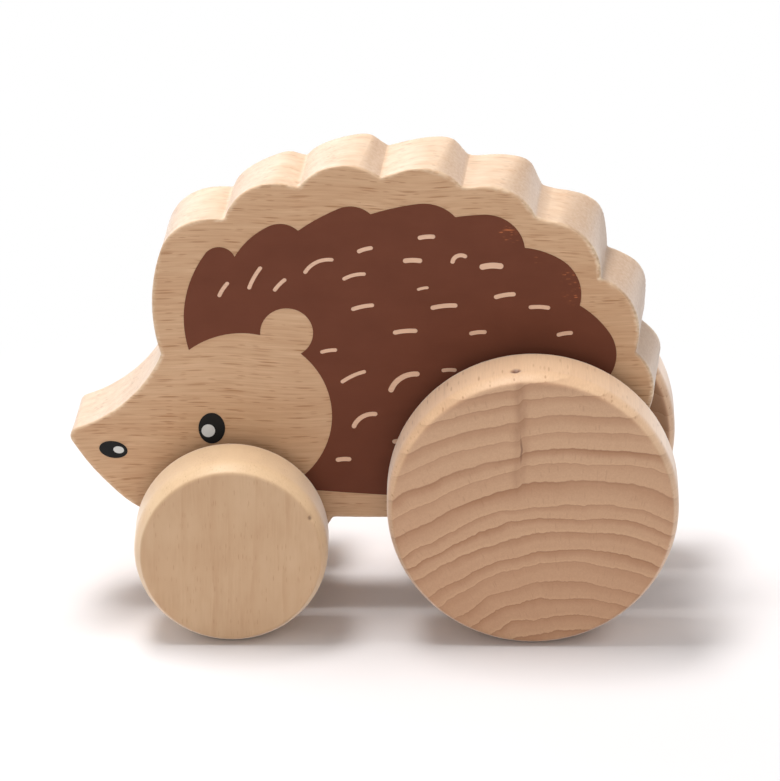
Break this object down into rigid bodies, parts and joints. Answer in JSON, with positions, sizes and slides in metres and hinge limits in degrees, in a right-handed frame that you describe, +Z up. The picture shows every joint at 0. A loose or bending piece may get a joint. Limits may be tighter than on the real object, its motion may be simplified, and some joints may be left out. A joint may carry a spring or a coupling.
{
  "type": "push-along toy",
  "caption": "Push-along wooden hedgehog: a plank body with a scalloped back and a printed coat, rolling on small front and large rear wheels glued to dowel axles.",
  "frame": {"origin": "on the floor, midway between the nose tip and the back of the rear wheels, in the plank's middle plane", "axes": "+X towards the tail (the hedgehog faces -X), +Y towards its right side, +Z up"},
  "size_m": [0.1254, 0.0562, 0.0988],
  "materials": {
    "beech": "sanded, unvarnished",
    "brown_ink": "matt print",
    "black_ink": "matt print",
    "pale_ink": "matt print"
  },
  "bodies": {
    "hedgehog": {"body_plank": "beech", "coat_print_left": "brown_ink", "coat_print_right": "brown_ink", "eye_glint_left": "pale_ink", "eye_glint_right": "pale_ink", "eye_print_left": "black_ink", "eye_print_right": "black_ink", "nose_glint_left": "pale_ink", "nose_glint_right": "pale_ink", "nose_print_left": "black_ink", "nose_print_right": "black_ink"},
    "front_wheelset": {"front_axle": "beech", "front_wheel_left": "beech", "front_wheel_right": "beech"},
    "rear_wheelset": {"rear_axle": "beech", "rear_wheel_left": "beech", "rear_wheel_right": "beech"}
  },
  "joints": [
    {"name": "front_axle_spin", "type": "hinge", "parent": "hedgehog", "child": "front_wheelset", "pos_m": [-0.02925, 0, 0.02], "axis": [0, 1, 0], "continuous": true},
    {"name": "rear_axle_spin", "type": "hinge", "parent": "hedgehog", "child": "rear_wheelset", "pos_m": [0.03275, 0, 0.03], "axis": [0, 1, 0], "continuous": true}
  ]
}
